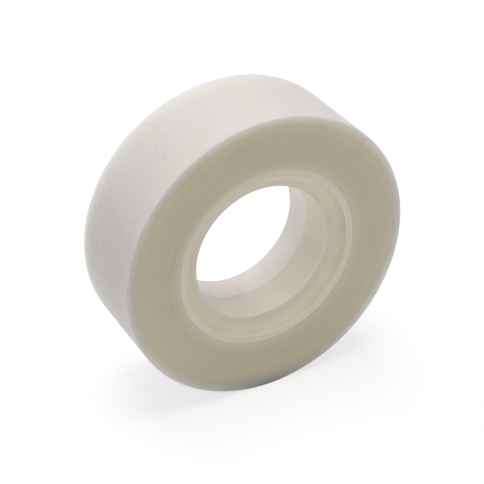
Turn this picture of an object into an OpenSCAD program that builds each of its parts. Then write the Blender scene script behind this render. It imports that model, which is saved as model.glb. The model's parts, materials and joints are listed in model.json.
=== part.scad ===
// Roll of matte adhesive tape, wound on a core of two moulded halves.
// The roll stands on its rim. Its axis lies along Y, the front face looks towards -Y,
// and the origin is the middle of the core's bore.

/* [Tape] */
// Width of the tape
tape_w = 18; // [16:0.5:30]
// Thickness of one turn of tape
tape_t = 0.05; // [0.03:0.01:0.2]
// Radius of the outermost turn, which says how much tape is left
wound_r = 27.4; // [20:0.1:45]
// Place of the tape's free end round the axis, in degrees from +X towards +Z
free_end_angle = 330; // [0:5:355]

/* [Core] */
// Radius of the bore, which turns on a dispenser's hub
bore_r = 13; // [10:0.1:14]
// Wall round the bore
bore_wall = 1.2; // [0.8:0.1:1.6]
// Space inside the core, between the bore's wall and the sleeve
cavity_w = 1.7; // [1.4:0.1:3]
// Wall of the sleeve that the first turn is stuck to
sleeve_wall = 1.3; // [0.8:0.1:1.6]
// Distance from the edge of the tape back to the end of the sleeve
sleeve_inset = 0.2; // [0:0.05:1]
// Radius on the edges of the sleeve's ends
sleeve_round = 0.25; // [0.05:0.05:0.35]

/* [Dished ends] */
// Depth of the dish, from the end of the sleeve
dish_depth = 2.25; // [1.4:0.05:2.4]
// Thickness of the dish's floor
floor_t = 1.2; // [0.8:0.1:1.6]
// Radius where the dish's floor turns up into the sleeve
dish_fillet = 1.8; // [0.3:0.1:2]
// Radius on the bore's two mouths
mouth_round = 0.3; // [0.1:0.05:0.6]

/* [Grip pads] */
// Number of raised pads round the back half of the bore
pad_count = 6; // [3:1:8]
// Angle that one pad takes up round the axis
pad_angle = 30; // [10:1:36]
// Place of the first pad's edge, in degrees from +X towards +Z
pad_start = 0; // [0:5:55]
// Length of a pad along the axis
pad_length = 4.7; // [2:0.1:5]
// How far a pad stands out of the bore
pad_height = 0.12; // [0.05:0.01:0.14]

/* [Seam] */
// Bevel on both sides of the seam inside the bore
seam_bevel = 0.12; // [0.05:0.01:0.3]
// Thickness of the lip that centres the two halves
lip_t = 0.8; // [0.5:0.1:1]
// How far the lip reaches into the front half
lip_reach = 2.4; // [1:0.1:2.8]
// Length of the lip's root on the back half's sleeve
lip_root = 1.6; // [1:0.1:2.8]
// Clearance between the lip and the front half
lip_gap = 0.05; // [0.02:0.01:0.2]

/* [Hidden] */

$fn = 128;
// How far a cut runs past a face that it shares
eps = 0.01;
// Half the tape's width, and half the core's
tape_half = tape_w / 2;
core_half = tape_half - sleeve_inset;
// Distance from the seam to a dish's floor, which is half the bore's length
seat_half = core_half - dish_depth;
// Inside and outside of the sleeve
sleeve_in = bore_r + bore_wall + cavity_w;
sleeve_r = sleeve_in + sleeve_wall;
// The fillet ends below the sleeve's rounded edge and leaves the mouth's radius whole
fillet_r = min(dish_fillet, dish_depth - sleeve_round, sleeve_in - bore_r - mouth_round);
// Shift between the two half circles of the outermost turn
turn_shift = tape_t / 2;
// Angle from one pad to the next
pad_pitch = 360 / pad_count;
// Outside of the lip
lip_r = sleeve_in - lip_gap;

tape_colour = "ivory";
core_colour = "gainsboro";

// Lays a piece that is drawn along local Z, front up, onto the Y axis with its front towards -Y
module on_axis() {
  rotate([90, 0, 0]) children();
}

// What a convex corner at the origin loses when it is rounded. The solid is in x > 0, y < 0
module corner_off(r) {
  difference() {
    translate([-eps, -r]) square([r + eps, r + eps]);
    translate([r, -r]) circle(r = r);
  }
}

// What a concave corner at the origin gains from a fillet. The open side is x < 0, y > 0
module corner_fill(r) {
  difference() {
    translate([-r, -eps]) square([r + eps, r + eps]);
    translate([-r, r]) circle(r = r);
  }
}

// The half of a disc in y > 0
module half_disc(r) {
  intersection() {
    circle(r = r);
    translate([-2 * r, 0]) square([4 * r, 2 * r]);
  }
}

// Plain ring from z = 0 up
module ring(outer_r, inner_r, h) {
  difference() {
    cylinder(r = outer_r, h = h);
    translate([0, 0, -eps]) cylinder(r = inner_r, h = h + 2 * eps);
  }
}

// Outline of the wound tape. Its last turn is a spiral of two half circles: the second is
// smaller by half a tape thickness and shifted by as much, so that the turn ends in a step
// of one tape thickness at the free end.
module winding_outline() {
  difference() {
    rotate(free_end_angle) {
      rotate(180) half_disc(wound_r);
      translate([-turn_shift, 0]) half_disc(wound_r - turn_shift);
    }
    circle(r = sleeve_r);
  }
}

// Section through one half of the core. The axis is x = 0 and the seam y = 0
module half_section() {
  difference() {
    union() {
      translate([sleeve_in, 0]) square([sleeve_wall, core_half]);
      translate([bore_r, seat_half - floor_t]) square([sleeve_in - bore_r + eps, floor_t]);
      translate([bore_r, 0]) square([bore_wall, seat_half]);
      translate([sleeve_in, seat_half]) corner_fill(fillet_r);
    }
    translate([bore_r, seat_half]) corner_off(mouth_round);
    translate([sleeve_in, core_half]) corner_off(sleeve_round);
    translate([sleeve_r, core_half]) mirror([1, 0]) corner_off(sleeve_round);
    translate([bore_r, 0]) polygon([[-eps, -eps], [seam_bevel, -eps], [-eps, seam_bevel]]);
  }
}

// Ring inside the sleeve that stands across the seam, with the root that joins it to the sleeve
module lip() {
  inner_r = lip_r - lip_t;
  translate([0, 0, -lip_root]) {
    ring(lip_r, inner_r, lip_root + lip_reach);
    ring(sleeve_in + eps, inner_r, lip_root - lip_gap);
  }
}

// One raised pad on the inside of the bore, from the seam's bevel towards the back
module grip_pad() {
  translate([0, 0, -pad_length - seam_bevel]) rotate_extrude(angle = pad_angle) {
    translate([bore_r - pad_height, 0]) square([pad_height + bore_wall / 2, pad_length]);
  }
}

// The whole strip of tape, wound tight on the sleeve
module tape_winding() {
  color(tape_colour) on_axis() {
    translate([0, 0, -tape_half]) linear_extrude(tape_w) winding_outline();
  }
}

// Front moulding, with a smooth bore
module core_front_half() {
  color(core_colour) on_axis() rotate_extrude() half_section();
}

// Back moulding: the same shell with the centring lip and the grip pads
module core_back_half() {
  color(core_colour) on_axis() {
    mirror([0, 0, 1]) rotate_extrude() half_section();
    lip();
    for (i = [0 : pad_count - 1]) {
      rotate(pad_start + i * pad_pitch) grip_pad();
    }
  }
}

tape_winding();
core_front_half();
core_back_half();
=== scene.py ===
"""Dresses a roll of matte adhesive tape: the wound strip, its core of two halves, and a stage."""

import json
import math

import bpy
import numpy as np
from bpy.props import FloatProperty, FloatVectorProperty, IntProperty, PointerProperty
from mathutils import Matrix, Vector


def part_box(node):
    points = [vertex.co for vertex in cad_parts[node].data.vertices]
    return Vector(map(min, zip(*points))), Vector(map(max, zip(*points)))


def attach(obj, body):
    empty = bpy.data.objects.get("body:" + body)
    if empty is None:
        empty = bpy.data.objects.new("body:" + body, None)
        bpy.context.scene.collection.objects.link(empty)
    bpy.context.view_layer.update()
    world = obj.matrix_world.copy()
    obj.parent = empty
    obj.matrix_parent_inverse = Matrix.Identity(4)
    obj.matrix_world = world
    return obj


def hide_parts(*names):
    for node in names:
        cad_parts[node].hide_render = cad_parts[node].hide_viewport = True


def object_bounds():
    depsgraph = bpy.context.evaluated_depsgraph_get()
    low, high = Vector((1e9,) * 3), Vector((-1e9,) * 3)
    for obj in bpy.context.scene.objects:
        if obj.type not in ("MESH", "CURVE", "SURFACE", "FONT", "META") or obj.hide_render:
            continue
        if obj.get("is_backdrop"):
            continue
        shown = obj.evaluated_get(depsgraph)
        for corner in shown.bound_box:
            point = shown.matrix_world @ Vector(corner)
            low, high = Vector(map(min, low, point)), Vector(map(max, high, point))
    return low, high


bl_info = {
    "name": "Tape Roll",
    "version": (1, 0, 0),
    "blender": (4, 5, 0),
    "location": "View3D > Sidebar > Tape Roll",
    "description": "Builds the looks of a roll of matte adhesive tape on its moulded core",
    "category": "Object",
}

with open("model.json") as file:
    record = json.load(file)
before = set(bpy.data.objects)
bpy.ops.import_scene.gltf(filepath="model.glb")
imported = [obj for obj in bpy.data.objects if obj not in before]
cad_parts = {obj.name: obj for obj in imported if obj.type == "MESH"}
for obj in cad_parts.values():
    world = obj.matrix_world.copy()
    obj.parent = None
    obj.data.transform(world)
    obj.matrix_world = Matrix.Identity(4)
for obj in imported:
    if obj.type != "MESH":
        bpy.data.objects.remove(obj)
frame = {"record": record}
bpy.context.view_layer.update()

MM = 0.001
BODY = "root"
WHITE = (1.0, 1.0, 1.0, 1.0)
# Edges that turn by more than this are shaded sharp
SHARP = math.radians(40)
# The range in which most of a noise texture's values lie
NOISE = (0.3, 0.7)
# How far the outermost turn stays inside the solid
HAIR = 0.002 * MM
TAPE_LOW, TAPE_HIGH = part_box("tape_winding")
CORE_LOW, CORE_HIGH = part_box("core_front_half")
BORE = next(m for m in frame["record"]["mounts"] if m["name"] == "hub_bore")["dims"]


def length(name, description, default, **limits):
    """A length in metres that the sidebar shows in the scene's own unit."""
    limits = {"min": 0.0, "precision": 5, **limits}
    return FloatProperty(
        name=name, description=description, default=default, unit="LENGTH", **limits
    )


def share(name, description, default, most=1.0):
    """A plain factor from 0 to its largest value."""
    return FloatProperty(name=name, description=description, default=default, min=0.0, max=most)


def angle(name, description, degrees):
    """An angle whose default is given in degrees."""
    return FloatProperty(
        name=name, description=description, default=math.radians(degrees), unit="ROTATION"
    )


def colour(name, description, default):
    """A colour in linear red, green and blue."""
    return FloatVectorProperty(
        name=name, description=description, default=default,
        subtype="COLOR", size=3, min=0.0, max=1.0,
    )


class TapeSizes(bpy.types.PropertyGroup):
    """Sizes and colours of the wound tape."""

    outer_radius: length("Outer radius", "Radius of the outermost turn", -TAPE_LOW.z - HAIR)
    inner_radius: length("Inner radius", "Radius of the first turn, on the sleeve", CORE_HIGH.x)
    half_width: length("Half width", "From the middle of the tape to its edge", TAPE_HIGH.y)
    turn: length("Turn", "Thickness of one turn of tape", 0.05 * MM)
    free_end: angle("Free end", "Place of the free end, from +X towards +Z", 330)
    edge_round: length("Edge rounding", "Radius on the outermost turns' edges", 0.10 * MM)
    inner_drop: length("Inner drop", "How far the first turns' edges lean back", 0.18 * MM)
    inner_lean: length("Inner lean", "Depth of the first turns that lean back", 0.6 * MM)
    relief: length("Ring relief", "How far the turns' edges wander along the axis", 0.03 * MM)
    glow_depth: length("Glow depth", "How deep outside light reaches between the turns", 3.2 * MM)
    film: colour("Film", "Matte outer face of the tape", (0.72, 0.70, 0.666))
    film_shade: colour("Film shade", "Cloudier places on the outer face", (0.70, 0.668, 0.637))
    rim: colour("Rim", "Edges of the outermost turns, lit from outside", (0.61, 0.585, 0.527))
    # Painted light: the edges next to the sleeve are lightened to make up for the light lost where
    # tape and core meet
    sleeve_painted_light: colour("First turns", "Edges of the turns on the sleeve", (0.815, 0.768, 0.647))
    cut_edge: colour("Cut edge", "Stacked edges of the turns", (0.70, 0.652, 0.502))
    cut_edge_shade: colour("Cut edge shade", "Darker places among the turns", (0.696, 0.636, 0.491))
    dust: colour("Dust", "Specks caught on the sticky edges", (0.20, 0.17, 0.13))


class CoreSizes(bpy.types.PropertyGroup):
    """Sizes and colours of the moulded core."""

    bore_radius: length("Bore radius", "Radius of the bore", BORE["r_mm"] * MM)
    bore_wall: length("Bore wall", "Wall round the bore", 1.2 * MM)
    sleeve_radius: length("Sleeve radius", "Outside of the sleeve", CORE_HIGH.x)
    sleeve_wall: length("Sleeve wall", "Wall of the sleeve", 1.3 * MM)
    half_length: length("Half length", "From the seam to the sleeve's end", -CORE_LOW.y)
    sleeve_round: length("Sleeve rounding", "Radius on the edges of the sleeve's end", 0.25 * MM)
    dish_depth: length("Dish depth", "From the sleeve's end to the dish's floor", 2.25 * MM)
    dish_fillet: length("Dish fillet", "Radius where the dish's floor turns up", 1.8 * MM)
    floor_wall: length("Floor wall", "Thickness of the dish's floor", 1.2 * MM)
    mouth_round: length("Mouth rounding", "Radius on the bore's mouths", 0.2 * MM)
    seam_bevel: length("Seam bevel", "Bevel on both sides of the seam", 0.03 * MM)
    # Painted light: how far behind the seam the bore's painted shade turns into painted light
    seam_blend: length("Seam blend", "How far behind the seam the bore turns lighter", 0.9 * MM)
    lip_thickness: length("Lip thickness", "Thickness of the centring lip", 0.8 * MM)
    lip_reach: length("Lip reach", "How far the lip reaches into the front half", 2.4 * MM)
    lip_root: length("Lip root", "Length of the lip's root on the back half", 1.6 * MM)
    lip_gap: length("Lip gap", "Clearance round the lip", 0.05 * MM)
    pads: IntProperty(
        name="Pads", description="Number of grip pads in the back half", default=6, min=3, max=12
    )
    pad_angle: angle("Pad angle", "Angle that one pad takes up", 30)
    pad_length: length("Pad length", "Length of a pad along the axis", 4.7 * MM)
    pad_height: length("Pad height", "How far a pad stands out of the bore", 0.12 * MM)
    plastic: colour("Plastic", "Milky moulded plastic", (0.865, 0.815, 0.685))
    plastic_shade: colour("Plastic shade", "Cloudier places in the plastic", (0.846, 0.791, 0.665))
    # One plastic in two colours: painted shade in the front half's bore, painted light from the
    # back mouth in the back half's bore
    front_bore_painted_shade: colour("Front bore", "Plastic in the front half's bore", (0.805, 0.757, 0.678))
    back_bore_painted_light: colour("Back bore", "Plastic in the back half's bore", (0.888, 0.84, 0.807))
    edge_light: colour("Edge light", "Thin edges, which gather light", (0.945, 0.90, 0.845))
    dust: colour("Dust", "Specks caught on the plastic", (0.3, 0.27, 0.22))


class StageSizes(bpy.types.PropertyGroup):
    """Camera, lamps and floor."""

    lens: FloatProperty(
        name="Lens", description="Focal length in millimetres", default=109.26, min=10.0
    )
    azimuth: angle("Azimuth", "Camera's turn round the roll; 0 looks along +Y", -28.455)
    elevation: angle("Elevation", "Camera's height above the horizon, as an angle", 32.319)
    distance: length("Distance", "From the aim to the camera", 263.25 * MM)
    aim: FloatVectorProperty(
        name="Aim", description="Point that the camera looks at",
        default=(-0.75 * MM, -0.32 * MM, -1.01 * MM),
        subtype="TRANSLATION", size=3, unit="LENGTH", precision=5,
    )
    floor_reach: length("Floor reach", "From the middle of the floor to its edge", 4.0)
    floor_colour: colour("Floor", "Colour of the floor", (0.88, 0.88, 0.88))
    sky: share("Sky", "Strength of the light from all round", 0.23, 4.0)
    top_lamp: share("Top lamp", "Power of the softbox overhead, in watts", 2.15, 50.0)
    back_lamp: share("Back lamp", "Power of the softbox above and behind, in watts", 0.95, 50.0)
    left_lamp: share("Left lamp", "Power of the softbox behind on the left, in watts", 0.42, 50.0)
    front_lamp: share("Front lamp", "Power of the small softbox in front, in watts", 0.05, 50.0)


# ---------------------------------------------------------------- surfaces


def straight(start, end, step):
    """Points on a straight line of the section: start + (end - start) t, about one step apart."""
    start, end = np.array(start, float), np.array(end, float)
    count = max(2, int(round(np.linalg.norm(end - start) / step)) + 1)
    return start + (end - start) * np.linspace(0.0, 1.0, count)[:, None]


def bend(centre, radius, first, last, count=9):
    """Points on an arc: centre + radius (cos a, sin a), with a from first to last in degrees."""
    turn = np.radians(np.linspace(first, last, count))
    return np.array(centre, float) + radius * np.column_stack([np.cos(turn), np.sin(turn)])


def section(*runs):
    """One closed section out of runs of points, each point once."""
    points = np.vstack(runs)
    apart = np.linalg.norm(points - np.roll(points, 1, axis=0), axis=1)
    return points[apart > 1e-7]


def carried_round(radius, along, turn):
    """Sections carried round the Y axis: (r cos a, y, r sin a), with r and y for each angle a."""
    turn = turn[:, None]
    along = along * np.ones_like(turn)
    return np.stack([radius * np.cos(turn), along, radius * np.sin(turn)], axis=-1)


def skin(name, grid, values=None):
    """A mesh over a grid of points that closes on itself both ways.

    Square (i, j) joins the points (i, j), (i, j+1), (i+1, j+1) and (i+1, j).
    """
    rows, columns = grid.shape[:2]
    corner = np.arange(rows * columns).reshape(rows, columns)
    ahead = np.roll(corner, -1, axis=0)
    square = [corner, np.roll(corner, -1, axis=1), np.roll(ahead, -1, axis=1), ahead]
    faces = np.stack(square, axis=-1).reshape(-1, 4)
    mesh = bpy.data.meshes.new(name)
    mesh.vertices.add(rows * columns)
    mesh.vertices.foreach_set("co", grid.astype(np.float32).ravel())
    mesh.loops.add(faces.size)
    mesh.loops.foreach_set("vertex_index", faces.ravel().astype(np.int32))
    mesh.polygons.add(len(faces))
    mesh.polygons.foreach_set("loop_start", np.arange(0, faces.size, 4, dtype=np.int32))
    for label, value in (values or {}).items():
        kept = mesh.attributes.new(label, "FLOAT", "POINT")
        whole = np.broadcast_to(value, (rows, columns))
        kept.data.foreach_set("value", whole.astype(np.float32).ravel())
    mesh.update(calc_edges=True)
    if mesh.validate():
        raise RuntimeError(f"{name}: the grid gives faulty faces")
    mesh.shade_smooth()
    mesh.set_sharp_from_angle(angle=SHARP)
    return mesh


def ripple(place, waves, seed):
    """Sum of sines of a place, with the phases drawn from the seed.

    Each wave (length, height) adds height sin(2 pi place / length + phase).
    """
    drawn = np.random.default_rng(seed)
    total = np.zeros_like(place)
    for size, height in waves:
        total += height * np.sin(2 * math.pi * place / size + drawn.uniform(0, 2 * math.pi))
    return total


def tape_grid(tape):
    """The winding as a closed surface of turn angle a and section place s.

    The outermost turn is a spiral: R(a) = R0 - t (a_end - a) / 360 degrees, which drops by one
    thickness t at the free end. The section runs out over the front edges of the turns, round a
    small radius, along the film, round again, in over the back edges and home on the sleeve. On
    the two flat sides y is moved in by a ripple of r, since turns wander a little when wound.
    """
    end = tape.free_end
    turn = np.linspace(end - 2 * math.pi, end - math.radians(0.1), 400)
    reach = tape.outer_radius - tape.turn * (end - turn) / (2 * math.pi)
    inner, half, edge = tape.inner_radius, tape.half_width, tape.edge_round
    outer = tape.outer_radius
    drop, foot = tape.inner_drop, inner + tape.inner_lean
    step = 0.125 * MM
    lean = straight((inner, drop - half), (foot, -half), step)
    side = straight((foot, -half), (outer - edge, -half), step)
    corner = bend((outer - edge, -half + edge), edge, -90, 0, 6)
    film = straight((outer, -half + edge), (outer, half - edge), 1.1 * MM)
    front = np.vstack([lean, side, corner])
    back = front[::-1] * (1, -1)
    home = straight((inner, half - drop), (inner, drop - half), 3 * MM)
    points = section(front, film, back, home)
    # A section point keeps its share of the way from the sleeve to the outermost turn
    depth = (points[:, 0] - inner) / (outer - inner)
    radius = inner + depth[None, :] * (reach[:, None] - inner)
    along = np.broadcast_to(points[:, 1], radius.shape).copy()
    waves = [
        (4.3 * MM, 0.30), (2.1 * MM, 0.22), (0.93 * MM, 0.10), (0.57 * MM, 0.06),
        (0.38 * MM, 0.045),
    ]
    off_centre = 0.25 * MM
    flat = np.clip((half - np.abs(along)) / edge, 0, 1) < 0.5
    for sign, seed in ((-1, 5), (1, 8)):
        place = radius + off_centre * np.sin(turn + seed)[:, None]
        wander = 0.5 + 0.5 * np.clip(ripple(place, waves, seed), -1, 1)
        along += np.where(flat & (np.sign(along) == sign), -sign * tape.relief * wander, 0.0)
    return carried_round(radius, along, turn)


def core_section(core, back):
    """Section of one core half, with y from the seam outwards, as the closed run of its walls."""
    bore, outer, length_ = core.bore_radius, core.sleeve_radius, core.half_length
    inside = outer - core.sleeve_wall
    seat = length_ - core.dish_depth
    under = seat - core.floor_wall
    behind = bore + core.bore_wall
    r, m, f, b = core.sleeve_round, core.mouth_round, core.dish_fillet, core.seam_bevel
    step = 0.25 * MM
    runs = [
        straight((outer, 0), (outer, length_ - r / 5), step * 2),
        bend((outer - r / 5, length_ - r / 5), r / 5, 0, 90, 4),
        straight((outer - r / 5, length_), (inside + r, length_), step / 2),
        bend((inside + r, length_ - r), r, 90, 180),
        straight((inside, length_ - r), (inside, seat + f), step / 2),
        bend((inside - f, seat + f), f, 0, -90, 17),
        straight((inside - f, seat), (bore + m, seat), step / 2),
        bend((bore + m, seat - m), m, 90, 180),
        straight((bore, seat - m), (bore, b), step / 3),
        straight((bore, b), (bore + b, 0), b / 2),
        straight((bore + b, 0), (behind, 0), step),
        straight((behind, 0), (behind, under), step * 2),
        straight((behind, under), (inside, under), step * 2),
    ]
    if back:
        gap, root, reach = core.lip_gap, core.lip_root, core.lip_reach
        near, far = inside - gap, inside - gap - core.lip_thickness
        runs += [
            straight((inside, under), (inside, root), step * 2),
            straight((inside, root), (far, root), step * 2),
            straight((far, root), (far, -reach), step * 2),
            straight((far, -reach), (near, -reach), step * 2),
            straight((near, -reach), (near, gap), step * 2),
            straight((near, gap), (inside, gap), gap),
            straight((inside, gap), (inside, 0), gap),
        ]
    else:
        runs.append(straight((inside, under), (inside, 0), step * 2))
    runs.append(straight((inside, 0), (outer, 0), step))
    return section(*runs)


def smooth_rise(value, low, high):
    """0 below low, 1 above high, and 3 t^2 - 2 t^3 between them."""
    t = np.clip((value - low) / (high - low), 0, 1)
    return t * t * (3 - 2 * t)


def core_grid(core, back):
    """One core half as a closed surface of turn angle a and section place s, with its edge light.

    On the back half the bore's wall is r = r_bore - h A(a) B(y): A is 1 inside the pads' angles and
    B is 1 along their length, and both rise smoothly over their edges. B rises slowly at the seam
    and falls quickly at the back. The edge light falls off from an edge as exp(-(d / width)^2).
    A pad's rising end has edge light too, which fades out round the bore.
    """
    points = core_section(core, back)
    # Lengths over which a pad rises at its back, on its sides and at the seam
    slope = 0.1 * MM
    seam_rise, light_rise = 7 * slope, 5 * slope
    lean = 3 * slope / core.bore_radius
    pitch = 2 * math.pi / core.pads
    edges = np.add.outer(np.arange(core.pads) * pitch, [0.0, core.pad_angle]).ravel()
    across = lean * np.array([-1.0, -0.5, 0.0, 0.5, 1.0])
    fine = np.add.outer(edges, across).ravel() % (2 * math.pi)
    coarse = np.radians(np.arange(0, 360, 1.0))
    apart = (coarse[:, None] - edges[None, :] + math.pi) % (2 * math.pi) - math.pi
    clear = np.abs(apart).min(axis=1) > 2 * lean
    turn = np.sort(np.concatenate([fine, coarse[clear]]))
    radius = np.broadcast_to(points[:, 0], (len(turn), len(points))).copy()
    along = points[:, 1]
    seat = core.half_length - core.dish_depth
    if back:
        on_bore = (points[:, 0] < core.bore_radius + 1e-6) & (along > core.seam_bevel - 1e-7)
        within = turn % pitch
        past = smooth_rise(within, core.pad_angle - lean, core.pad_angle + lean)
        pad = smooth_rise(within, -lean, lean) * (1 - past)
        pad = np.maximum(pad, smooth_rise(within, pitch - lean, pitch + lean))
        last = core.seam_bevel + core.pad_length
        first = core.seam_bevel + seam_rise
        ends = smooth_rise(along, core.seam_bevel, first)
        ends = ends * (1 - smooth_rise(along, last - slope, last + slope))
        reach = on_bore * ends
        radius -= core.pad_height * pad[:, None] * reach[None, :]
        fade_from, fade_to = 0.35 * core.pad_angle, 0.95 * core.pad_angle
        fading = pad * (1 - smooth_rise(within, fade_from, fade_to))
        strip = on_bore * smooth_rise(along, 0.0, light_rise)
        strip = strip * (1 - smooth_rise(along, first, first + light_rise))
        front_edge = fading[:, None] * strip[None, :]
    # Strength, radius, place along the axis and width of the light in the sleeve's end, the seam
    # and the bore's mouth
    lit = np.maximum.reduce([
        strength * np.exp(-(np.hypot(points[:, 0] - at_radius, along - at_place) / width) ** 2)
        for strength, at_radius, at_place, width in (
            (0.5, core.sleeve_radius, core.half_length, core.sleeve_round),
            (0.3, core.bore_radius, 0.0, 5 * core.seam_bevel),
            (0.6, core.bore_radius, seat, core.mouth_round),
        )
    ])
    lit = np.broadcast_to(lit, radius.shape).copy()
    if not back:
        grid = carried_round(radius[:, ::-1], -along[::-1], turn)
        return grid, lit[:, ::-1]
    return carried_round(radius, along, turn), np.maximum(lit, front_edge)


def floor_grid(centre, reach, level):
    """A level round floor: (c + r cos a, c + r sin a, z) for rings r and angles a."""
    ring = np.array([0.02, 0.25, 0.5, 1.0]) * reach
    turn = np.radians(np.arange(0, 360, 7.5))
    x = centre[0] + np.outer(ring, np.cos(turn))
    y = centre[1] + np.outer(ring, np.sin(turn))
    return np.stack([x, y, np.full_like(x, level)], axis=-1)


# ---------------------------------------------------------------- materials


def put(tree, kind, inputs=None, **settings):
    """Adds a node and fills its inputs: a socket is linked, and anything else is set as a value."""
    made = tree.nodes.new(kind)
    for name, value in settings.items():
        setattr(made, name, value)
    for name, value in (inputs or {}).items():
        if isinstance(value, bpy.types.NodeSocket):
            tree.links.new(value, made.inputs[name])
        else:
            made.inputs[name].default_value = value
    return made


def sum_of(tree, operation, *values, clamp=False):
    """The result of one Math node."""
    inputs = dict(enumerate(values))
    return put(tree, "ShaderNodeMath", inputs, operation=operation, use_clamp=clamp).outputs[0]


def ease(tree, value, low, high, start=0.0, end=1.0):
    """Value taken smoothly from the range low to high onto start to end."""
    inputs = {"Value": value, "From Min": low, "From Max": high, "To Min": start, "To Max": end}
    made = put(tree, "ShaderNodeMapRange", inputs, interpolation_type="SMOOTHSTEP")
    return made.outputs["Result"]


def mixed(tree, factor, first, second, blend="MIX"):
    """Two colours mixed by a factor."""
    inputs = {0: factor, 6: first, 7: second}
    return put(tree, "ShaderNodeMix", inputs, data_type="RGBA", blend_type=blend).outputs[2]


def scaled(tree, value, factor):
    """A vector or a colour times a factor."""
    inputs = {0: value, "Scale": factor}
    return put(tree, "ShaderNodeVectorMath", inputs, operation="SCALE").outputs[0]


def seen(tree):
    """1 for rays from the camera, straight or by way of a gloss or a clear body, 0 for others."""
    ray = put(tree, "ShaderNodeLightPath").outputs
    bent = sum_of(tree, "MAXIMUM", ray["Is Glossy Ray"], ray["Is Transmission Ray"])
    return sum_of(tree, "MAXIMUM", ray["Is Camera Ray"], bent)


def rgba(value):
    """A linear colour with full alpha."""
    return (*value, 1.0)


def effect(name, sockets_in, sockets_out):
    """A new shader node group, with its input and output nodes."""
    group = bpy.data.node_groups.new(name, "ShaderNodeTree")
    for label, kind, default in sockets_in:
        socket = group.interface.new_socket(label, in_out="INPUT", socket_type=f"NodeSocket{kind}")
        if default is not None:
            socket.default_value = default
    for label, kind in sockets_out:
        group.interface.new_socket(label, in_out="OUTPUT", socket_type=f"NodeSocket{kind}")
    given = group.nodes.new("NodeGroupInput").outputs
    return group, given, group.nodes.new("NodeGroupOutput").inputs


def from_axis(tree, place):
    """A place with its part along the Y axis taken out, and how far that is from the axis."""
    inputs = {0: place, 1: (1.0, 0.0, 1.0)}
    flat = put(tree, "ShaderNodeVectorMath", inputs, operation="MULTIPLY").outputs[0]
    return flat, put(tree, "ShaderNodeVectorMath", {0: flat}, operation="LENGTH").outputs["Value"]


def effect_ring_place():
    """Group: a place that runs fast across the turns and slowly round them."""
    group, given, result = effect(
        "ring_place",
        [("Vector", "Vector", None), ("Turns per metre", "Float", 2000.0), ("Drift", "Float", 1.0)],
        [("Place", "Vector")],
    )
    flat, radius = from_axis(group, given["Vector"])
    unit = put(group, "ShaderNodeVectorMath", {0: flat}, operation="NORMALIZE").outputs[0]
    slow = scaled(group, unit, given["Drift"])
    across = sum_of(group, "MULTIPLY", radius, given["Turns per metre"])
    parts = put(group, "ShaderNodeSeparateXYZ", {0: slow})
    inputs = {0: parts.outputs["X"], 1: across, 2: parts.outputs["Z"]}
    place = put(group, "ShaderNodeCombineXYZ", inputs)
    group.links.new(place.outputs[0], result["Place"])
    return group


def effect_specks():
    """Group: small specks. A Voronoi cell keeps its speck if its own draw is below the share."""
    group, given, result = effect(
        "fine_specks",
        [
            ("Vector", "Vector", None), ("Spacing", "Float", 0.002),
            ("Size", "Float", 0.1), ("Share", "Float", 0.1),
        ],
        [("Mask", "Float")],
    )
    cells = sum_of(group, "DIVIDE", 1.0, given["Spacing"])
    inputs = {"Vector": given["Vector"], "Scale": cells, "Randomness": 1.0}
    cell = put(group, "ShaderNodeTexVoronoi", inputs)
    draw = put(group, "ShaderNodeSeparateColor", {0: cell.outputs["Color"]})
    smallest, largest = 0.5, 1.2
    grown = ease(group, draw.outputs["Green"], 0.0, 1.0, smallest, largest)
    size = sum_of(group, "MULTIPLY", given["Size"], grown)
    out = sum_of(group, "DIVIDE", cell.outputs["Distance"], size)
    near = sum_of(group, "SUBTRACT", 1.0, out, clamp=True)
    kept = sum_of(group, "LESS_THAN", draw.outputs["Red"], given["Share"])
    group.links.new(sum_of(group, "MULTIPLY", ease(group, near, 0.0, 0.6), kept), result["Mask"])
    return group


def effect_clouds():
    """Group: two colours drifting into each other, as milky plastic and trapped air look."""
    group, given, result = effect(
        "milky_clouds",
        [
            ("Vector", "Vector", None), ("Size", "Float", 0.004),
            ("Light", "Color", None), ("Dark", "Color", None),
        ],
        [("Color", "Color")],
    )
    scale = sum_of(group, "DIVIDE", 1.0, given["Size"])
    noise = put(group, "ShaderNodeTexNoise", {
        "Vector": given["Vector"], "Scale": scale,
        "Detail": 4.0, "Roughness": 0.55, "Distortion": 0.3,
    })
    factor = ease(group, noise.outputs["Fac"], *NOISE)
    group.links.new(mixed(group, factor, given["Dark"], given["Light"]), result["Color"])
    return group


def effect_grain():
    """Group: the height of a fine satin grain."""
    group, given, result = effect(
        "satin_grain",
        [("Vector", "Vector", None), ("Size", "Float", 0.0003)],
        [("Height", "Float")],
    )
    scale = sum_of(group, "DIVIDE", 1.0, given["Size"])
    inputs = {"Vector": given["Vector"], "Scale": scale, "Detail": 3.0}
    noise = put(group, "ShaderNodeTexNoise", inputs)
    group.links.new(noise.outputs["Fac"], result["Height"])
    return group


EFFECTS = {
    "ring_place": effect_ring_place, "fine_specks": effect_specks,
    "milky_clouds": effect_clouds, "satin_grain": effect_grain,
}


def use(tree, name, inputs):
    """Places one of the shared effects in a material. Its group is built once."""
    group = bpy.data.node_groups.get(name) or EFFECTS[name]()
    return put(tree, "ShaderNodeGroup", inputs, node_tree=group).outputs


def spread_out(tree):
    """Lays the nodes out from left to right by how many steps they are from the end."""
    rank = {node: 0 for node in tree.nodes}
    for _ in range(len(tree.nodes)):
        for link in tree.links:
            rank[link.from_node] = max(rank[link.from_node], rank[link.to_node] + 1)
    rows = {}
    for node, place in rank.items():
        rows[place] = rows.get(place, 0) + 1
        node.location = (-240 * place, 220 * (2 - rows[place]))


def new_material(name):
    """An empty node material, with its tree and its Principled shader."""
    material = bpy.data.materials.new(name)
    material.use_nodes = True
    return material, material.node_tree, material.node_tree.nodes["Principled BSDF"]


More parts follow.
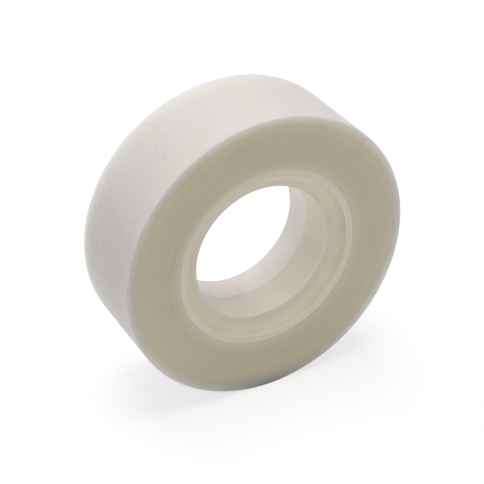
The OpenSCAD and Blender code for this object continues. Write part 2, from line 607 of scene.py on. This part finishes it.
def wound_tape_material(tape):
    """Matte film; on the sides the turns' stacked edges, darker towards the rim, with painted light
    by the sleeve.
    """
    material, tree, surface = new_material("wound_tape")
    inside, outside = tape.inner_radius, tape.outer_radius
    place = put(tree, "ShaderNodeTexCoord").outputs["Object"]
    radius = from_axis(tree, place)[1]
    ring = use(tree, "ring_place", {"Vector": place, "Turns per metre": 4200.0, "Drift": 0.8})
    depth = sum_of(tree, "SUBTRACT", outside, radius)
    glow = ease(tree, depth, 0.1 * MM, tape.glow_depth, 1.0, 0.0)
    film = use(tree, "milky_clouds", {
        "Vector": place, "Size": 3.6 * MM,
        "Light": rgba(tape.film), "Dark": rgba(tape.film_shade),
    })["Color"]
    edge = use(tree, "milky_clouds", {
        "Vector": place, "Size": 7.0 * MM,
        "Light": rgba(tape.cut_edge), "Dark": rgba(tape.cut_edge_shade),
    })["Color"]
    # Fine lines between the turns, strong near the sleeve and weak further out, over wide bands
    lines = put(tree, "ShaderNodeTexNoise", {
        "Vector": ring["Place"], "Scale": 1.0, "Detail": 3.0, "Roughness": 0.6,
    })
    bands = put(tree, "ShaderNodeTexNoise", {"Vector": ring["Place"], "Scale": 0.22, "Detail": 1.0})
    on_side = ease(tree, depth, 0.12 * MM, 0.6 * MM)
    strong, weak, of_bands = 0.045, 0.022, 0.015
    contrast = ease(tree, radius, inside + 0.5 * MM, inside + 4 * MM, strong, weak)
    fine = sum_of(tree, "MULTIPLY", contrast, ease(tree, lines.outputs["Fac"], *NOISE, -1.0, 1.0))
    broad = ease(tree, bands.outputs["Fac"], *NOISE, -of_bands, of_bands)
    shift = sum_of(tree, "ADD", fine, broad)
    tone = sum_of(tree, "ADD", 1.0, sum_of(tree, "MULTIPLY", on_side, shift))
    # Next to the sleeve the edges get painted light, which makes up for the light lost where tape
    # and core meet
    inner = ease(tree, radius, inside, inside + 2 * MM, 0.6, 0.0)
    edge = mixed(tree, glow, mixed(tree, inner, edge, rgba(tape.sleeve_painted_light)), rgba(tape.rim))
    base = mixed(tree, ease(tree, depth, 0.0, tape.edge_round, 1.0, 0.0), edge, film)
    toned = scaled(tree, base, tone)
    # Dust shows most on the edges near the rim, less on the film and least further in
    specks = use(tree, "fine_specks", {
        "Vector": place, "Spacing": 1.3 * MM, "Size": 0.13, "Share": 0.4,
    })["Mask"]
    near_rim = ease(tree, depth, 1.2 * MM, 3.6 * MM, 1.0, 0.15)
    on_edges = ease(tree, depth, 0.0, tape.edge_round, 0.6, 1.0)
    dusty = sum_of(tree, "MULTIPLY", specks, sum_of(tree, "MULTIPLY", near_rim, on_edges))
    tree.links.new(mixed(tree, dusty, toned, rgba(tape.dust)), surface.inputs["Base Color"])
    tree.links.new(ease(tree, depth, 0.0, 0.5 * MM, 0.42, 0.6), surface.inputs["Roughness"])
    grain = use(tree, "satin_grain", {"Vector": place, "Size": 0.35 * MM})["Height"]
    ridges = sum_of(tree, "MULTIPLY", lines.outputs["Fac"], on_side)
    height = sum_of(tree, "ADD", ridges, sum_of(tree, "MULTIPLY", grain, 0.35))
    bump = put(tree, "ShaderNodeBump", {"Strength": 0.35, "Distance": 0.02 * MM, "Height": height})
    tree.links.new(bump.outputs["Normal"], surface.inputs["Normal"])
    surface.inputs["Subsurface Weight"].default_value = 1.0
    surface.inputs["Subsurface Radius"].default_value = (1.0, 0.95, 0.85)
    # Light spreads far under the rim and hardly at all at the sleeve, where two surfaces meet
    reach = ease(tree, radius, outside - 9 * MM, outside - 0.5 * MM, 0.5 * MM, 7.0 * MM)
    near_sleeve = ease(tree, radius, inside, inside + 1.5 * MM, 0.04, 1.0)
    scale = sum_of(tree, "MULTIPLY", reach, near_sleeve)
    tree.links.new(scale, surface.inputs["Subsurface Scale"])
    surface.inputs["Specular IOR Level"].default_value = 0.15
    spread_out(tree)
    return material


def core_plastic_material(core):
    """Moulded milky plastic with a satin skin: painted light at thin edges and in the bore's back,
    painted shade in its front.
    """
    material, tree, surface = new_material("core_plastic")
    place = put(tree, "ShaderNodeTexCoord").outputs["Object"]
    radius = from_axis(tree, place)[1]
    ring = use(tree, "ring_place", {"Vector": place, "Turns per metre": 900.0, "Drift": 1.0})
    flow = put(tree, "ShaderNodeTexNoise", {"Vector": ring["Place"], "Scale": 1.0, "Detail": 2.0})
    milk = use(tree, "milky_clouds", {
        "Vector": place, "Size": 4.0 * MM,
        "Light": rgba(core.plastic), "Dark": rgba(core.plastic_shade),
    })["Color"]
    bore = core.bore_radius
    past_bore = ease(tree, radius, bore + 0.05 * MM, bore + core.mouth_round)
    along = put(tree, "ShaderNodeSeparateXYZ", {"Vector": place}).outputs["Y"]
    # Painted shade in the bore before the seam, turning into painted light behind it
    behind = ease(tree, along, 0.0, core.seam_blend)
    bore_painted_light_and_shade = mixed(tree, behind, rgba(core.front_bore_painted_shade), rgba(core.back_bore_painted_light))
    milk = mixed(tree, past_bore, bore_painted_light_and_shade, milk)
    toned = scaled(tree, milk, ease(tree, flow.outputs["Fac"], *NOISE, 0.97, 1.03))
    edge = put(tree, "ShaderNodeAttribute", attribute_name="edge_light").outputs["Fac"]
    lit = mixed(tree, edge, toned, rgba(core.edge_light))
    specks = use(tree, "fine_specks", {
        "Vector": place, "Spacing": 2.3 * MM, "Size": 0.05, "Share": 0.06,
    })["Mask"]
    faint = sum_of(tree, "MULTIPLY", specks, 0.5)
    tree.links.new(mixed(tree, faint, lit, rgba(core.dust)), surface.inputs["Base Color"])
    grain = use(tree, "satin_grain", {"Vector": place, "Size": 0.5 * MM})["Height"]
    tree.links.new(ease(tree, grain, *NOISE, 0.34, 0.44), surface.inputs["Roughness"])
    bump = put(tree, "ShaderNodeBump", {"Strength": 0.2, "Distance": 0.02 * MM, "Height": grain})
    tree.links.new(bump.outputs["Normal"], surface.inputs["Normal"])
    surface.inputs["Subsurface Weight"].default_value = 1.0
    surface.inputs["Subsurface Radius"].default_value = (1.0, 0.9, 0.7)
    sleeve = core.sleeve_radius
    near_tape = ease(tree, radius, sleeve - 0.8 * MM, sleeve, 0.15 * MM, 0.02 * MM)
    tree.links.new(near_tape, surface.inputs["Subsurface Scale"])
    spread_out(tree)
    return material


def floor_material(shade):
    """Pale floor. The camera sees it lifted to white, with the roll's shadow left on it."""
    material, tree, surface = new_material("stage_floor")
    surface.inputs["Base Color"].default_value = rgba(shade)
    surface.inputs["Roughness"].default_value = 1.0
    surface.inputs["Specular IOR Level"].default_value = 0.0
    out = tree.nodes["Material Output"]
    shaded, lift = 0.36, 0.70
    dull = put(tree, "ShaderNodeBsdfDiffuse", {"Color": rgba([shaded] * 3)}).outputs[0]
    glow = put(tree, "ShaderNodeEmission", {"Color": WHITE, "Strength": lift}).outputs[0]
    lifted = put(tree, "ShaderNodeAddShader", {0: dull, 1: glow}).outputs[0]
    inputs = {0: seen(tree), 1: surface.outputs[0], 2: lifted}
    mix = put(tree, "ShaderNodeMixShader", inputs).outputs[0]
    tree.links.new(mix, out.inputs["Surface"])
    spread_out(tree)
    return material


# ---------------------------------------------------------------- operators


def add_piece(name, mesh, *materials):
    """A new object at the origin, with its materials."""
    made = bpy.data.objects.new(name, mesh)
    bpy.context.scene.collection.objects.link(made)
    for material in materials:
        mesh.materials.append(material)
    return made


class TAPEROLL_OT_wind_tape(bpy.types.Operator):
    """Winds the tape: the spiral of film with its stacked edges and free end"""

    bl_idname = "taperoll.wind_tape"
    bl_label = "Wind tape"

    def execute(self, context):
        """Makes the winding and lets it stand for its node."""
        tape = context.scene.tape_sizes
        mesh = skin("tape_roll", tape_grid(tape))
        roll = add_piece("tape_roll", mesh, wound_tape_material(tape))
        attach(roll, BODY)
        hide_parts("tape_winding")
        return {"FINISHED"}


class TAPEROLL_OT_mould_core(bpy.types.Operator):
    """Moulds the core's two shells, the back one with its centring lip and grip pads"""

    bl_idname = "taperoll.mould_core"
    bl_label = "Mould core"

    def execute(self, context):
        """Makes both shells and lets each stand for its node."""
        core = context.scene.core_sizes
        material = core_plastic_material(core)
        for name, node, is_back in (
            ("core_front_shell", "core_front_half", False),
            ("core_back_shell", "core_back_half", True),
        ):
            grid, lit = core_grid(core, is_back)
            shell = add_piece(name, skin(name, grid, {"edge_light": lit}), material)
            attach(shell, BODY)
            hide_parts(node)
        return {"FINISHED"}


class TAPEROLL_OT_set_stage(bpy.types.Operator):
    """Sets the floor, the soft lamps, the pale surroundings and the camera"""

    bl_idname = "taperoll.set_stage"
    bl_label = "Set stage"

    def execute(self, context):
        """Makes the stage round whatever is in the scene."""
        stage = context.scene.stage_sizes
        low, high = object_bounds()
        centre = (low + high) / 2
        grid = floor_grid(centre, stage.floor_reach, low.z)
        self.lay_floor(grid, stage)
        self.light_room(context, stage, centre)
        self.place_camera(context, stage, centre)
        return {"FINISHED"}

    def lay_floor(self, grid, stage):
        """The floor is rings of squares with a plain disc in the middle, facing up."""
        rings, spokes = grid.shape[:2]
        corner = np.arange(rings * spokes).reshape(rings, spokes)
        beside = np.roll(corner, -1, axis=1)
        squares = np.stack([corner[:-1], corner[1:], beside[1:], beside[:-1]], axis=-1)
        faces = squares.reshape(-1, 4).tolist() + [corner[0].tolist()]
        mesh = bpy.data.meshes.new("stage_floor")
        mesh.from_pydata(grid.reshape(-1, 3).tolist(), [], faces)
        mesh.update()
        add_piece("stage_floor", mesh, floor_material(stage.floor_colour))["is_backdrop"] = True

    def light_room(self, context, stage, centre):
        """Even light from all round, two softboxes above, weak ones on the left and in front."""
        world = bpy.data.worlds.new("pale_room")
        context.scene.world = world
        world.use_nodes = True
        tree = world.node_tree
        sky = tree.nodes["Background"]
        sky.inputs["Color"].default_value = WHITE
        sky.inputs["Strength"].default_value = stage.sky
        white = put(tree, "ShaderNodeBackground", {"Color": WHITE, "Strength": 1.0}).outputs[0]
        inputs = {0: seen(tree), 1: sky.outputs[0], 2: white}
        mix = put(tree, "ShaderNodeMixShader", inputs).outputs[0]
        tree.links.new(mix, tree.nodes["World Output"].inputs["Surface"])
        spread_out(tree)
        # Name, power, side and place from the roll's middle
        for name, power, side, place in (
            ("softbox_top", stage.top_lamp, 0.4, (0.01, 0.0, 0.6)),
            ("softbox_back", stage.back_lamp, 0.4, (0.0, 0.36, 0.48)),
            ("softbox_left", stage.left_lamp, 0.4, (-0.39, 0.39, 0.21)),
            ("softbox_front", stage.front_lamp, 0.15, (0.0, -0.25, 0.12)),
        ):
            lamp = bpy.data.lights.new(name, "AREA")
            lamp.size = side
            lamp.energy = power
            holder = bpy.data.objects.new(name, lamp)
            context.scene.collection.objects.link(holder)
            holder.location = centre + type(centre)(place)
            holder.rotation_euler = (centre - holder.location).to_track_quat("-Z", "Y").to_euler()

    def place_camera(self, context, stage, centre):
        """The camera stands off its aim by the distance, at the azimuth and the elevation."""
        lens = bpy.data.cameras.new("camera")
        lens.lens = stage.lens
        lens.sensor_width = 36.0
        holder = bpy.data.objects.new("camera", lens)
        context.scene.collection.objects.link(holder)
        turn, rise = stage.azimuth, stage.elevation
        level = math.cos(rise)
        back = type(centre)((math.sin(turn) * level, -math.cos(turn) * level, math.sin(rise)))
        holder.location = type(centre)(stage.aim) + back * stage.distance
        holder.rotation_mode = "QUATERNION"
        holder.rotation_quaternion = (-back).to_track_quat("-Z", "Y")
        lens.clip_start, lens.clip_end = 0.01, 20.0
        context.scene.camera = holder
        context.scene.view_settings.view_transform = "Standard"


class TAPEROLL_PT_sidebar(bpy.types.Panel):
    """The roll's sizes and colours, and the steps that build it"""

    bl_idname = "TAPEROLL_PT_sidebar"
    bl_label = "Tape Roll"
    bl_space_type = "VIEW_3D"
    bl_region_type = "UI"
    bl_category = "Tape Roll"

    def draw(self, context):
        """Lists each group of settings above the step that uses it."""
        for label, group, step in (
            ("Tape", context.scene.tape_sizes, TAPEROLL_OT_wind_tape),
            ("Core", context.scene.core_sizes, TAPEROLL_OT_mould_core),
            ("Stage", context.scene.stage_sizes, TAPEROLL_OT_set_stage),
        ):
            box = self.layout.box()
            box.label(text=label)
            for name in group.__annotations__:
                box.prop(group, name)
            box.operator(step.bl_idname)


CLASSES = (
    TapeSizes, CoreSizes, StageSizes,
    TAPEROLL_OT_wind_tape, TAPEROLL_OT_mould_core, TAPEROLL_OT_set_stage, TAPEROLL_PT_sidebar,
)
GROUPS = {"tape_sizes": TapeSizes, "core_sizes": CoreSizes, "stage_sizes": StageSizes}


def register():
    """Registers the classes and hangs their settings on the scene."""
    for made in CLASSES:
        bpy.utils.register_class(made)
    for name, group in GROUPS.items():
        setattr(bpy.types.Scene, name, PointerProperty(type=group))


def unregister():
    """Takes the settings and the classes away again."""
    for name in GROUPS:
        delattr(bpy.types.Scene, name)
    for made in reversed(CLASSES):
        bpy.utils.unregister_class(made)


def main():
    """Builds every piece and the stage."""
    register()
    bpy.ops.taperoll.wind_tape()
    bpy.ops.taperoll.mould_core()
    bpy.ops.taperoll.set_stage()
    bpy.context.view_layer.update()


if __name__ == "__main__":
    main()
